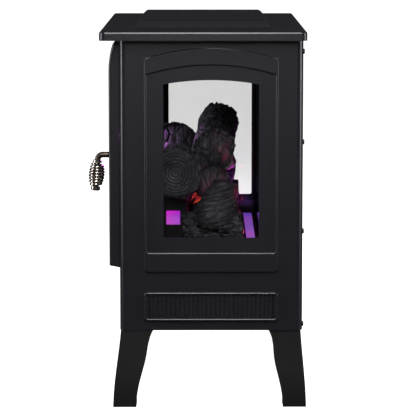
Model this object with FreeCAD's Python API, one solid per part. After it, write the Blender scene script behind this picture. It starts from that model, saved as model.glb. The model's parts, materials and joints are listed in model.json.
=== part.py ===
import FreeCAD, Part
import math
import os
from FreeCAD import Vector

# Free-standing electric stove, millimetres. +Z is up, the door faces -Y, +X is to the right of the door.
# The origin is on the floor, under the middle of the whole object's box.

# ---- driving dimensions ----
CAP_WIDTH = 610.0
CAP_DEPTH = 315.5
CAP_TOP = 582.0
CAP_HEIGHT = 14.0
CAP_CORNER = 9.0
CAP_SKIN = 1.5
CREST_HEIGHT = 12.0
CREST_INSET = 115.0
CREST_MARGIN = 50.0
CAP_OVERHANG_FRONT = 29.0

BODY_WIDTH = 550.0
BODY_DEPTH = 282.0
BODY_FRONT = -119.3
BODY_BOTTOM = 119.0
BODY_CORNER = 10.0
SHEET = 1.2
FLANGE = 22.0
EMBOSS = 4.0
PRESS_RADIUS = 1.7

FRAME_HALF = 102.7
FRAME_BOTTOM = 210.0
FRAME_SHOULDER = 540.0
FRAME_APEX = 556.5
FIELD_HALF = 98.8
FIELD_BOTTOM = 240.5
FIELD_SHOULDER = 514.5
FIELD_APEX = 529.5
WINDOW_HALF = 73.2
WINDOW_BOTTOM = 263.5
WINDOW_SHOULDER = 500.0
WINDOW_APEX = 506.5

VENT_HALF = 103.4
VENT_BOTTOM = 133.5
VENT_TOP = 178.5
VENT_RIM = 4.0
RIB_PITCH = 6.9
RIB_RADIUS = 2.0

DOOR_HALF = 254.0
DOOR_BOTTOM = 214.0
DOOR_TOP = 562.0
DOOR_FRONT = -136.1
DOOR_GAP = 0.5
DOOR_WALL = 3.0
GLASS = 3.0

FLOOR_Z = 234.0
SCREEN_Y = 99.0
SLOT_FRONT = 79.0
SLOT_REAR = 95.0

LEG_TOP = BODY_BOTTOM
LEG_SPLAY_FRONT = 12.2
LEG_SPLAY_REAR = 8.6
HANDLE_X = 225.0
HANDLE_Z = 387.0
HANDLE_ROD = 4.5
HANDLE_FRONT = -168.8
HANDLE_BEND = 8.0
GRIP_LEAN = 4.5
GRIP_RADIUS = 12.6
GRIP_TOP = 378.0
GRIP_BOTTOM = 337.0
GRIP_TURNS = 7
GRIP_WIRE = 1.7

ROTOR_Y = 132.0
ROTOR_Z = 266.0
ROTOR_RADIUS = 15.0
BLOWER_Y = 42.0
BLOWER_Z = 160.0
BLOWER_RADIUS = 24.0
BLOWER_HALF = 112.0
RUNNING_FIT = 0.05

BUTTON_RADIUS = 4.5
BUTTON_Z = 196.0
BUTTON_PITCH = 24.0
BUTTON_TRAVEL = 1.2

ROCKER_Y = 158.0
ROCKER_Z = 150.0
ROCKER_AXLE = 1.2
ROCKER_SWING = 16.0

# ---- worked-out planes ----
HALF_WIDTH = BODY_WIDTH / 2
BODY_REAR = BODY_FRONT + BODY_DEPTH
BODY_MIDDLE = (BODY_FRONT + BODY_REAR) / 2
BODY_TOP = CAP_TOP - CAP_SKIN
CAP_FRONT = BODY_FRONT - CAP_OVERHANG_FRONT
CAP_REAR = CAP_FRONT + CAP_DEPTH
CAP_BOTTOM = CAP_TOP - CAP_HEIGHT
DOOR_BACK = BODY_FRONT - DOOR_GAP
PANEL_INNER = HALF_WIDTH - SHEET
FACE_PLATE_FRONT = BODY_FRONT + SHEET
FACE_PLATE_BACK = FACE_PLATE_FRONT + SHEET
BACK_PLATE_REAR = BODY_REAR - SHEET
BACK_PLATE_FRONT = BACK_PLATE_REAR - SHEET

X_AXIS = Vector(1, 0, 0)
Y_AXIS = Vector(0, 1, 0)
Z_AXIS = Vector(0, 0, 1)


# ---- small tools ----
def box(low, high):
    size = Vector(*high) - Vector(*low)
    return Part.makeBox(size.x, size.y, size.z, Vector(*low))


def rod(start, end, radius):
    run = Vector(*end) - Vector(*start)
    return Part.makeCylinder(radius, run.Length, Vector(*start), run)


def ring(start, end, outer, inner):
    return rod(start, end, outer).cut(rod(start, end, inner))


def fuse(solids):
    whole = solids[0]
    if len(solids) > 1:
        whole = whole.multiFuse(solids[1:])
    return whole.removeSplitter()


def group(solids):
    return Part.makeCompound(solids)


def mirror_x(shape):
    return shape.mirror(Vector(0, 0, 0), X_AXIS)


def face_of(edges):
    return Part.Face(Part.Wire(edges))


def polygon(points):
    corners = [Vector(*point) for point in points]
    return Part.Face(Part.makePolygon(corners + corners[:1]))


def prism(points, run):
    return polygon(points).extrude(Vector(*run))


def arched_face(half, bottom, shoulder, apex, corner, place):
    """An upright face with rounded lower corners and an arched top; place(u, v) gives a point."""
    turn = corner * (1 - math.cos(math.pi / 4))
    left, right = -half, half
    edges = [
        Part.LineSegment(place(left + corner, bottom), place(right - corner, bottom)).toShape(),
        Part.Arc(place(right - corner, bottom), place(right - turn, bottom + turn),
                 place(right, bottom + corner)).toShape(),
        Part.LineSegment(place(right, bottom + corner), place(right, shoulder)).toShape(),
        Part.Arc(place(right, shoulder), place(0, apex), place(left, shoulder)).toShape(),
        Part.LineSegment(place(left, shoulder), place(left, bottom + corner)).toShape(),
        Part.Arc(place(left, bottom + corner), place(left + turn, bottom + turn),
                 place(left + corner, bottom)).toShape(),
    ]
    return face_of(edges)


def side_arch(half, bottom, shoulder, apex, corner, start, end):
    """An arched block on the right side of the body, from x = start to x = end."""
    def place(u, v):
        return Vector(start, BODY_MIDDLE + u, v)
    face = arched_face(half, bottom, shoulder, apex, corner, place)
    return face.extrude(Vector(end - start, 0, 0))


def front_arch(half, bottom, shoulder, apex, corner, start, end):
    """An arched block on the front of the body, from y = start to y = end."""
    def place(u, v):
        return Vector(u, start, v)
    face = arched_face(half, bottom, shoulder, apex, corner, place)
    return face.extrude(Vector(0, end - start, 0))


def rounded_block(low, high, radius, axis):
    """A box whose four edges along one axis are rounded."""
    block = box(low, high)
    along = [edge for edge in block.Edges if abs(edge.tangentAt(0).dot(axis)) > 0.99]
    return block.makeFillet(radius, along)


def edges_on(shape, axis, level):
    """The edges of a shape that lie wholly in the plane at this level of one axis."""
    index = (X_AXIS, Y_AXIS, Z_AXIS).index(axis)
    found = []
    for edge in shape.Edges:
        limits = edge.BoundBox
        low = (limits.XMin, limits.YMin, limits.ZMin)[index]
        high = (limits.XMax, limits.YMax, limits.ZMax)[index]
        if abs(low - level) < 0.01 and abs(high - level) < 0.01:
            found.append(edge)
    return found


def rounded(shape, radius, axis, level):
    return shape.makeFillet(radius, edges_on(shape, axis, level))


def pan_screw(point, outward, head=4.0, height=2.2, shank=1.6, length=8.0):
    """A pan-head screw whose head sits on a face at this point."""
    dome = Part.makeCylinder(head, height, point, outward)
    rim = [edge for edge in dome.Edges if edge.CenterOfMass.distanceToPoint(point) > height * 0.9]
    dome = dome.makeFillet(height * 0.6, [edge for edge in rim if edge.Closed])
    slot = head * 0.22
    bar = Part.makeBox(head, slot, height, Vector(-head / 2, -slot / 2, height * 0.55))
    cross = bar.fuse(bar.rotated(Vector(0, 0, 0), Z_AXIS, 90))
    turn = FreeCAD.Rotation(Z_AXIS, outward)
    cross = cross.transformed(FreeCAD.Placement(point, turn).toMatrix())
    return dome.cut(cross).fuse(Part.makeCylinder(shank, length, point, outward * -1)).removeSplitter()


# ---- cabinet ----
def top_cap():
    low, high = -CAP_WIDTH / 2, CAP_WIDTH / 2
    outer = rounded_block((low, CAP_FRONT, CAP_BOTTOM), (high, CAP_REAR, CAP_TOP), CAP_CORNER, Z_AXIS)
    outer = rounded(outer, 3.5, Z_AXIS, CAP_TOP)
    slope = CREST_HEIGHT
    base = crest_outline(0, CAP_TOP)
    peak = crest_outline(slope, CAP_TOP + CREST_HEIGHT)
    crest = Part.makeLoft([base, peak], True, True)
    crest = rounded(crest, 8.0, Z_AXIS, CAP_TOP + CREST_HEIGHT)
    inner = rounded_block((low + CAP_SKIN, CAP_FRONT + CAP_SKIN, CAP_BOTTOM - 1),
                          (high - CAP_SKIN, CAP_REAR - CAP_SKIN, BODY_TOP), CAP_CORNER - CAP_SKIN, Z_AXIS)
    inner_crest = Part.makeLoft([crest_outline(2 * CAP_SKIN, CAP_TOP - CAP_SKIN),
                                 crest_outline(slope + 2 * CAP_SKIN, CAP_TOP + CREST_HEIGHT - 2.5)],
                                True, True)
    return outer.fuse(crest).removeSplitter().cut(inner).cut(inner_crest)


def crest_outline(inset, level):
    x = CAP_WIDTH / 2 - CREST_INSET - inset
    front = CAP_FRONT + CREST_MARGIN + inset
    rear = CAP_REAR - CREST_MARGIN - inset
    points = [(-x, front), (x, front), (x, rear), (-x, rear), (-x, front)]
    return Part.makePolygon([Vector(px, py, level) for px, py in points])


def channel(width, skin_x, bottom, top):
    """The side sheet bent round both corners of the body, as a block that reaches in by width."""
    block = box((HALF_WIDTH - width, BODY_FRONT, bottom), (HALF_WIDTH, BODY_REAR, top))
    corners = [edge for edge in block.Edges
               if abs(edge.tangentAt(0).dot(Z_AXIS)) > 0.99 and edge.CenterOfMass.x > HALF_WIDTH - 1]
    outer = block.makeFillet(BODY_CORNER, corners)
    hollow = box((HALF_WIDTH - width - 1, BODY_FRONT + skin_x, bottom - 1),
                 (HALF_WIDTH - skin_x, BODY_REAR - skin_x, top + 1))
    corners = [edge for edge in hollow.Edges
               if abs(edge.tangentAt(0).dot(Z_AXIS)) > 0.99 and edge.CenterOfMass.x > HALF_WIDTH - 3]
    return outer, hollow.makeFillet(BODY_CORNER - skin_x, corners)


def side_panel_right():
    outer, hollow = channel(FLANGE, SHEET, BODY_BOTTOM, BODY_TOP)
    proud = HALF_WIDTH + EMBOSS
    frame = side_arch(FRAME_HALF, FRAME_BOTTOM, FRAME_SHOULDER, FRAME_APEX, 6, HALF_WIDTH - 0.5, proud)
    field = side_arch(FIELD_HALF, FIELD_BOTTOM, FIELD_SHOULDER, FIELD_APEX, 3, HALF_WIDTH, proud + 1)
    frame = rounded(frame.cut(field), PRESS_RADIUS, X_AXIS, proud)
    vent = rounded_block((HALF_WIDTH - 0.5, BODY_MIDDLE - VENT_HALF, VENT_BOTTOM),
                         (proud, BODY_MIDDLE + VENT_HALF, VENT_TOP), 5, X_AXIS)
    pocket = rounded_block((HALF_WIDTH, BODY_MIDDLE - VENT_HALF + VENT_RIM, VENT_BOTTOM + VENT_RIM),
                           (proud + 1, BODY_MIDDLE + VENT_HALF - VENT_RIM, VENT_TOP - VENT_RIM), 2, X_AXIS)
    vent = rounded(vent.cut(pocket), PRESS_RADIUS, X_AXIS, proud)
    skin = outer.fuse(frame).fuse(vent)
    frame_hollow = side_arch(FRAME_HALF - SHEET, FRAME_BOTTOM + SHEET, FRAME_SHOULDER - SHEET,
                             FRAME_APEX - SHEET, 5, PANEL_INNER - 0.5, proud - SHEET)
    field_back = side_arch(FIELD_HALF + SHEET, FIELD_BOTTOM - SHEET, FIELD_SHOULDER + SHEET,
                           FIELD_APEX + SHEET, 3, PANEL_INNER, proud)
    window = side_arch(WINDOW_HALF, WINDOW_BOTTOM, WINDOW_SHOULDER, WINDOW_APEX, 3,
                       HALF_WIDTH - FLANGE, proud)
    skin = skin.cut(hollow).cut(frame_hollow.cut(field_back)).cut(window)
    return fuse([skin] + side_ribs())


def side_ribs():
    reach = VENT_HALF - VENT_RIM
    count = int(2 * reach / RIB_PITCH)
    first = BODY_MIDDLE - (count - 1) * RIB_PITCH / 2
    ribs = []
    for index in range(count):
        y = first + index * RIB_PITCH
        rib = rod((HALF_WIDTH, y, VENT_BOTTOM + VENT_RIM + 1), (HALF_WIDTH, y, VENT_TOP - VENT_RIM - 1),
                  RIB_RADIUS)
        ribs.append(rib.common(box((HALF_WIDTH - 0.4, y - RIB_PITCH, 0),
                                   (HALF_WIDTH + EMBOSS, y + RIB_PITCH, CAP_TOP))))
    return ribs


def front_plate():
    half = HALF_WIDTH - 12
    plate = box((-half, FACE_PLATE_FRONT, BODY_BOTTOM + 1.5), (half, FACE_PLATE_BACK, BODY_TOP))
    mouth = front_arch(236, 240, 500, 530, 8, BODY_FRONT, FACE_PLATE_BACK + 1)
    outlet = box((-126, BODY_FRONT, 135), (126, FACE_PLATE_BACK + 1, 178))
    keys = box((-70, BODY_FRONT, 187), (70, FACE_PLATE_BACK + 1, 205))
    return plate.cut(mouth).cut(outlet).cut(keys)


def outlet_grille():
    front = BODY_FRONT - 2.5
    plate = rounded_block((-132, front, VENT_BOTTOM - 2), (132, FACE_PLATE_FRONT, VENT_TOP + 2), 5, Y_AXIS)
    plate = rounded(plate, 1.5, Y_AXIS, front)
    slots = []
    count = 34
    for index in range(count):
        x = (index - (count - 1) / 2) * RIB_PITCH
        slots.append(box((x - 1.8, front - 1, VENT_BOTTOM + 5),
                         (x + 1.8, FACE_PLATE_FRONT + 1, VENT_TOP - 5)))
    return plate.cut(group(slots))


def back_plate():
    half = HALF_WIDTH - BODY_CORNER
    plate = box((-half, BACK_PLATE_FRONT, BODY_BOTTOM + 1.5), (half, BACK_PLATE_REAR, BODY_TOP))
    openings = [rod((-200, BACK_PLATE_FRONT - 1, 150), (-200, BODY_REAR, 150), 8),
                box((-166, BACK_PLATE_FRONT - 1, 139), (-139, BODY_REAR, 161))]
    for row in range(6):
        z = 142 + 10 * row
        for column in range(7):
            x = -84 + 28 * column
            openings.append(box((x - 11, BACK_PLATE_FRONT - 1, z), (x + 11, BODY_REAR, z + 4)))
    return plate.cut(group(openings))


def base_pan():
    outer = rounded_block((-HALF_WIDTH + 2, FACE_PLATE_BACK, BODY_BOTTOM),
                          (HALF_WIDTH - 2, BACK_PLATE_FRONT, BODY_BOTTOM + 12), 9, Z_AXIS)
    inner = rounded_block((-HALF_WIDTH + 2 + SHEET, FACE_PLATE_BACK + SHEET, BODY_BOTTOM + SHEET),
                          (HALF_WIDTH - 2 - SHEET, BACK_PLATE_FRONT - SHEET, BODY_BOTTOM + 13), 8, Z_AXIS)
    return outer.cut(inner)


def leg(front_side, right_side):
    """A cast leg with an outward splay, hollow on the side that looks under the stove."""
    splay = LEG_SPLAY_FRONT if front_side else LEG_SPLAY_REAR
    face = 1.3 if front_side else 2.5
    depth = leg_profile(splay, lambda a, z: Vector(-400, a, z)).extrude(Vector(800, 0, 0))
    width = leg_profile(LEG_SPLAY_FRONT, lambda a, z: Vector(a, -400, z)).extrude(Vector(0, 800, 0))
    hollow_depth = depth.translated(Vector(0, 5, 0))
    hollow_width = width.translated(Vector(5, 0, 0))
    solid = depth.common(width)
    flare = box((0, 0, 6), (90, 90, LEG_TOP - 5))
    solid = solid.cut(hollow_depth.common(hollow_width).common(flare))
    solid = solid.translated(Vector(-HALF_WIDTH + face, BODY_FRONT + face, 0))
    if not front_side:
        solid = solid.mirror(Vector(0, BODY_MIDDLE, 0), Y_AXIS)
    if right_side:
        solid = mirror_x(solid)
    return solid


def leg_profile(splay, place):
    """One face of a leg: u runs inward from the body's corner, the foot stands splay outside it."""
    shift = 15.0
    outer = [(0, LEG_TOP), (-0.24 * splay, 92), (-0.64 * splay, 55), (-splay, 0)]
    inner = [(36 - splay, 0), (42 - splay, 42), (46.5 - 0.6 * splay, 78), (44, 104), (50, LEG_TOP)]
    outer_curve = Part.BSplineCurve()
    outer_curve.interpolate([place(u + shift, z) for u, z in outer])
    inner_curve = Part.BSplineCurve()
    inner_curve.interpolate([place(u + shift, z) for u, z in inner])
    foot = Part.LineSegment(outer_curve.EndPoint, inner_curve.StartPoint)
    top = Part.LineSegment(inner_curve.EndPoint, outer_curve.StartPoint)
    face = face_of([outer_curve.toShape(), foot.toShape(), inner_curve.toShape(), top.toShape()])
    return face.translated(place(-shift, 0) - place(0, 0))


def cabinet_screws():
    """Pan-head screws: round the back plate, and one under the base at each side's middle."""
    spots = [(side * (HALF_WIDTH - 9.5), z) for side in (-1, 1) for z in (128, 273, 411, 550)]
    spots += [(x, 550) for x in (-130, 0, 130)]
    spots += [(x, 128) for x in (-60, 60)]
    screws = []
    for x, z in spots:
        level = BODY_REAR if abs(x) > HALF_WIDTH - FLANGE else BACK_PLATE_REAR
        screws.append(pan_screw(Vector(x, level, z), Y_AXIS))
    for x in (-250, 250):
        screws.append(pan_screw(Vector(x, BODY_MIDDLE, BODY_BOTTOM), Z_AXIS * -1))
    return group(screws)


def leg_bolts():
    bolts = []
    for side in (-1, 1):
        for y in (BODY_FRONT + 24, BODY_REAR - 24):
            head = rod((side * (HALF_WIDTH - 24), y, BODY_BOTTOM + 1.2),
                       (side * (HALF_WIDTH - 24), y, BODY_BOTTOM + 6.2), 6.0)
            shank = rod((side * (HALF_WIDTH - 24), y, BODY_BOTTOM - 10),
                        (side * (HALF_WIDTH - 24), y, BODY_BOTTOM + 2), 3.0)
            bolts.append(head.fuse(shank).removeSplitter())
    return group(bolts)


# ---- side windows ----
def side_glass():
    return side_arch(WINDOW_HALF + 10, WINDOW_BOTTOM - 10, WINDOW_SHOULDER + 10, WINDOW_APEX + 10, 6,
                     PANEL_INNER - 0.8 - GLASS, PANEL_INNER - 0.8)


def side_seal():
    rim = side_arch(WINDOW_HALF + 10, WINDOW_BOTTOM - 10, WINDOW_SHOULDER + 10, WINDOW_APEX + 10, 6,
                    PANEL_INNER - 0.8, PANEL_INNER)
    hole = side_arch(WINDOW_HALF + 1, WINDOW_BOTTOM - 1, WINDOW_SHOULDER + 1, WINDOW_APEX + 1, 3,
                     PANEL_INNER - 2, PANEL_INNER + 1)
    return rim.cut(hole)


def glass_clips():
    """Small stepped clips that press each side pane against its seal."""
    clips = []
    back = PANEL_INNER - 0.8 - GLASS
    for z in (290, 385, 480):
        for side in (-1, 1):
            y = BODY_MIDDLE + side * (WINDOW_HALF + 10)
            tongue = box((back - 1.2, min(y - side * 6, y + side * 12), z - 6),
                         (back, max(y - side * 6, y + side * 12), z + 6))
            foot = box((back - 1.2, min(y + side * 1, y + side * 12), z - 6),
                       (PANEL_INNER, max(y + side * 1, y + side * 12), z + 6))
            clips.append(tongue.fuse(foot).removeSplitter())
    return clips


# ---- firebox ----
INSIDE = HALF_WIDTH - 8.0
FIRE_FRONT = FACE_PLATE_BACK


def firebox_floor():
    plate = box((-INSIDE, FIRE_FRONT, FLOOR_Z - SHEET), (INSIDE, BACK_PLATE_FRONT, FLOOR_Z))
    slot = box((-240, SLOT_FRONT, FLOOR_Z - 3), (240, SLOT_REAR, FLOOR_Z + 1))
    gap = box((-230, ROTOR_Y - 20, FLOOR_Z - 3), (230, ROTOR_Y + 20, FLOOR_Z + 1))
    return plate.cut(slot).cut(gap)


def firebox_roof():
    plate = box((-INSIDE, FIRE_FRONT, 545), (INSIDE, BACK_PLATE_FRONT, 545 + SHEET))
    lip = box((-INSIDE, FIRE_FRONT, 535), (INSIDE, FIRE_FRONT + SHEET, 546))
    return plate.fuse(lip).removeSplitter()


def slot_diffuser():
    return box((-238, SLOT_FRONT + 1, FLOOR_Z - 2.5), (238, SLOT_REAR - 1, FLOOR_Z + 0.5))


def flame_screen():
    return box((-INSIDE + 3, SCREEN_Y, FLOOR_Z), (INSIDE - 3, SCREEN_Y + GLASS, 543))


def screen_channels():
    channels = []
    for side in (-1, 1):
        x = side * INSIDE
        far = side * (INSIDE - 9)
        outer = box((min(x, far), SCREEN_Y - 1.2, FLOOR_Z), (max(x, far), SCREEN_Y + GLASS + 1.2, 543))
        groove_x = side * (INSIDE - 3)
        groove = box((min(groove_x, far) - 1 * (side > 0), SCREEN_Y, FLOOR_Z - 1),
                     (max(groove_x, far) + 1 * (side < 0), SCREEN_Y + GLASS, 544))
        channels.append(outer.cut(groove))
    return group(channels)


def log_stand():
    """A sheet-metal tunnel with open ends that carries the front log over its lights."""
    outer = box((-172, -76, FLOOR_Z), (172, -18, 306))
    inner = box((-173, -74.5, FLOOR_Z - 1), (173, -19.5, 304.5))
    plate = box((169, -76, FLOOR_Z), (172, -18, 306)).cut(box((168, -49, 269.5), (173, -27, 292)))
    return fuse([outer.cut(inner), plate, mirror_x(plate)])


def leaning_log(start, end, thick, thin):
    """A tapered log between two points, with slightly softened ends."""
    run = Vector(*end) - Vector(*start)
    log = Part.makeCone(thick, thin, run.Length, Vector(*start), run)
    rims = [edge for edge in log.Edges if edge.Closed]
    return log.makeFillet(3.0, rims)


LOGS = {
    "log_front_large": ((203, -34, 355), (45, -36, 350), 40, 39),
    "log_back_upper": ((160, 31, 407), (-185, 36, 404), 36, 34),
    "log_middle_upper": ((28, -40, 383), (-200, -40, 352), 36, 33),
    "log_rear_lower": ((172, 33, 331), (-160, 38, 331), 31, 30),
}
END_LOG = ((222, -29, 266), (219, 73, 265), 31, 30)
STUMP = ((213, 24, 264), (208, 46, 347), 38, 13)


def ember_bed():
    """A moulded heap of glowing coals behind the tunnel."""
    foot = rectangle(-166, -17, 140, 74, FLOOR_Z)
    peak = rectangle(-156, -12, 132, 40, 297)
    return Part.makeLoft([foot, peak], True, True)


def rectangle(left, front, right, rear, z):
    points = [(left, front), (right, front), (right, rear), (left, rear), (left, front)]
    return Part.makePolygon([Vector(px, py, z) for px, py in points])


def led_strip(low, high, pitch):
    """A narrow circuit board with a row of light-emitting diodes on it."""
    board = box(low, high)
    middle = (low[1] + high[1]) / 2
    count = int((high[0] - low[0]) / pitch)
    first = (low[0] + high[0]) / 2 - (count - 1) * pitch / 2
    lamps = [box((first + i * pitch - 2.5, middle - 2.5, high[2]),
                 (first + i * pitch + 2.5, middle + 2.5, high[2] + 1.6)) for i in range(count)]
    return fuse([board] + lamps)


# ---- flame effect ----
def flame_rotor():
    """A long shaft with rows of bent reflecting blades."""
    shaft = rod((-212, ROTOR_Y, ROTOR_Z), (196, ROTOR_Y, ROTOR_Z), 2.5)
    blades = []
    for index in range(24):
        x = -193 + index * 16
        blade = box((x, ROTOR_Y - 4, ROTOR_Z), (x + 13, ROTOR_Y + 4, ROTOR_Z + ROTOR_RADIUS))
        blade = blade.cut(box((x - 1, ROTOR_Y + 0.4, ROTOR_Z - 1), (x + 14, ROTOR_Y + 5, ROTOR_Z + 20)))
        blade = blade.cut(box((x - 1, ROTOR_Y - 5, ROTOR_Z - 1), (x + 14, ROTOR_Y - 0.4, ROTOR_Z + 20)))
        blades.append(blade.rotated(Vector(0, ROTOR_Y, ROTOR_Z), X_AXIS, 75 * index))
    return fuse([shaft] + blades)


def rotor_motor():
    body = rod((200, ROTOR_Y, ROTOR_Z), (222, ROTOR_Y, ROTOR_Z), 22)
    nose = rod((190, ROTOR_Y, ROTOR_Z), (200, ROTOR_Y, ROTOR_Z), 7)
    bore = rod((189, ROTOR_Y, ROTOR_Z), (197, ROTOR_Y, ROTOR_Z), 2.5 + RUNNING_FIT)
    ears = box((198.5, ROTOR_Y - 28, ROTOR_Z - 6), (200, ROTOR_Y + 28, ROTOR_Z + 6))
    return fuse([body, nose, ears]).cut(bore)


def motor_bracket():
    foot = box((202, ROTOR_Y - 28, FLOOR_Z), (228, ROTOR_Y + 28, FLOOR_Z + 1.5))
    wall = box((200, ROTOR_Y - 28, FLOOR_Z), (201.5, ROTOR_Y + 28, ROTOR_Z + 28))
    hole = rod((198, ROTOR_Y, ROTOR_Z), (204, ROTOR_Y, ROTOR_Z), 22)
    return foot.fuse(wall).removeSplitter().cut(hole)


def rotor_bearing():
    wall = box((-209, ROTOR_Y - 14, FLOOR_Z + 1.5), (-206, ROTOR_Y + 14, ROTOR_Z + 12))
    foot = box((-235, ROTOR_Y - 14, FLOOR_Z), (-206, ROTOR_Y + 14, FLOOR_Z + 1.5))
    boss = rod((-210, ROTOR_Y, ROTOR_Z), (-203, ROTOR_Y, ROTOR_Z), 6)
    bore = rod((-215, ROTOR_Y, ROTOR_Z), (-200, ROTOR_Y, ROTOR_Z), 2.5 + RUNNING_FIT)
    return fuse([wall, foot, boss]).cut(bore)


def flame_reflector():
    """A mirror-finished sheet behind the rotor, bent forward over it."""
    wall = box((-200, ROTOR_Y + 22, FLOOR_Z), (196, ROTOR_Y + 23, 400))
    hood = box((-200, ROTOR_Y - 4, 399), (196, ROTOR_Y + 23, 400))
    return wall.fuse(hood).removeSplitter()


# ---- heater ----
def blower_wheel():
    """A cross-flow wheel: two end discs, thin blades between them and a stub shaft at each end."""
    axis = Vector(0, BLOWER_Y, BLOWER_Z)
    parts = [rod((-BLOWER_HALF - 14, BLOWER_Y, BLOWER_Z), (BLOWER_HALF + 18, BLOWER_Y, BLOWER_Z), 3)]
    for x in (-BLOWER_HALF, -1.0, BLOWER_HALF - 2):
        parts.append(rod((x, BLOWER_Y, BLOWER_Z), (x + 2, BLOWER_Y, BLOWER_Z), BLOWER_RADIUS))
    count = 24
    for index in range(count):
        blade = box((-BLOWER_HALF, BLOWER_Y - 0.4, BLOWER_Z + BLOWER_RADIUS - 7),
                    (BLOWER_HALF, BLOWER_Y + 0.4, BLOWER_Z + BLOWER_RADIUS - 0.5))
        blade = blade.rotated(Vector(0, BLOWER_Y, BLOWER_Z + BLOWER_RADIUS - 4), X_AXIS, 28)
        parts.append(blade.rotated(axis, X_AXIS, 360 * index / count))
    return fuse(parts)


def blower_housing():
    """The scroll round the cross-flow wheel, open at the back to draw air and at the front to blow it."""
    end = BLOWER_HALF + 6
    low, high = BODY_BOTTOM + SHEET, BLOWER_Z + BLOWER_RADIUS + 8
    outer = box((-end, BLOWER_Y - 34, low), (end, BLOWER_Y + 34, high))
    bore = rod((-end + 2, BLOWER_Y, BLOWER_Z), (end - 2, BLOWER_Y, BLOWER_Z), BLOWER_RADIUS + 3)
    mouth = box((-end + 2, BLOWER_Y - 35, 138), (end - 2, BLOWER_Y, 174))
    intake = box((-end + 2, BLOWER_Y, 142), (end - 2, BLOWER_Y + 35, BLOWER_Z + BLOWER_RADIUS))
    eye = rod((-end - 1, BLOWER_Y, BLOWER_Z), (end + 1, BLOWER_Y, BLOWER_Z), 3 + RUNNING_FIT)
    return outer.cut(bore).cut(mouth).cut(intake).cut(eye)


def blower_motor():
    start = BLOWER_HALF + 7
    body = rod((start, BLOWER_Y, BLOWER_Z), (start + 30, BLOWER_Y, BLOWER_Z), 26)
    cap = rod((start + 30, BLOWER_Y, BLOWER_Z), (start + 38, BLOWER_Y, BLOWER_Z), 15)
    bore = rod((start - 1, BLOWER_Y, BLOWER_Z), (start + 13, BLOWER_Y, BLOWER_Z), 3 + RUNNING_FIT)
    return body.fuse(cap).removeSplitter().cut(bore)


def outlet_duct():
    end = BLOWER_HALF + 6
    outer = box((-end, FACE_PLATE_BACK, 136), (end, BLOWER_Y - 34, 177))
    inner = box((-end + 1, FACE_PLATE_BACK - 1, 137), (end - 1, BLOWER_Y, 176))
    return outer.cut(inner)


def heater_element():
    """A frame across the duct with rows of finned heating bars."""
    rear, front = -10.0, -34.0
    half = BLOWER_HALF + 3
    frame = box((-half, front, 138.5), (half, rear, 174.5)).cut(
        box((-half + 6, front - 1, 142), (half - 6, rear + 1, 171)))
    bars = [box((-half + 3, front + 4, z), (half - 3, rear - 4, z + 3)) for z in (147, 156, 165)]
    count = 36
    fins = []
    for index in range(count):
        x = (index - (count - 1) / 2) * 6.1
        fins.append(box((x - 0.4, front + 6, 141), (x + 0.4, rear - 6, 172)))
    return fuse([frame] + bars + fins)


def thermal_cutout():
    base = box((60, -30, 177), (90, -8, 179))
    button = rod((75, -19, 179), (75, -19, 187), 8)
    tabs = [box((x, -22, 185), (x + 1, -16, 196)) for x in (70.5, 78.5)]
    return fuse([base, button] + tabs)


# ---- controls ----
def control_panel():
    """The strip under the door, with a hole for each button."""
    front = BODY_FRONT - 1.5
    plate = rounded_block((-74, front, 185), (74, FACE_PLATE_FRONT, 207), 4, Y_AXIS)
    plate = rounded(plate, 1.0, Y_AXIS, front)
    holes = [rod((x, front - 1, BUTTON_Z), (x, FACE_PLATE_BACK, BUTTON_Z), BUTTON_RADIUS + 0.4)
             for x in BUTTON_PLACES.values()]
    return plate.cut(group(holes))


BUTTON_PLACES = {
    "button_power": -1.5 * BUTTON_PITCH,
    "button_heat": -0.5 * BUTTON_PITCH,
    "button_flame": 0.5 * BUTTON_PITCH,
    "button_colour": 1.5 * BUTTON_PITCH,
}


def push_button(x):
    front = BODY_FRONT - 3.5
    cap = rod((x, front, BUTTON_Z), (x, FACE_PLATE_BACK + 2, BUTTON_Z), BUTTON_RADIUS)
    cap = cap.makeFillet(0.9, edges_on(cap, Y_AXIS, front))
    flange = rod((x, FACE_PLATE_BACK + 0.4, BUTTON_Z), (x, FACE_PLATE_BACK + 2, BUTTON_Z),
                 BUTTON_RADIUS + 1.5)
    return cap.fuse(flange).removeSplitter()


def key_board():
    """The circuit board behind the buttons, with a small switch under each."""
    level = FACE_PLATE_BACK + 2 + BUTTON_TRAVEL + 0.3
    board = box((-68, level + 3, 186.5), (68, level + 4.6, 205.5))
    posts = [box((x - 3, level, BUTTON_Z - 3), (x + 3, level + 3, BUTTON_Z + 3))
             for x in BUTTON_PLACES.values()]
    struts = [rod((x, FACE_PLATE_BACK, BUTTON_Z), (x, level + 3, BUTTON_Z), 2) for x in (-60, 60)]
    return fuse([board] + posts + struts)


def main_board():
    """The power board on the base: relays, capacitor, transformer and a terminal strip."""
    z = BODY_BOTTOM + SHEET
    board = box((-232, -60, z + 6), (-142, 60, z + 7.6))
    posts = [rod((x, y, z), (x, y, z + 6), 3) for x in (-226, -148) for y in (-54, 54)]
    relays = [box((-222, y, z + 7.6), (-203, y + 15, z + 24)) for y in (-48, -28, -8)]
    transformer = box((-190, -46, z + 7.6), (-155, -12, z + 34))
    capacitor = rod((-172, 14, z + 7.6), (-172, 14, z + 30), 9)
    terminals = box((-222, 36, z + 7.6), (-156, 50, z + 20))
    return fuse([board] + posts + relays + [transformer, capacitor, terminals])


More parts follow.
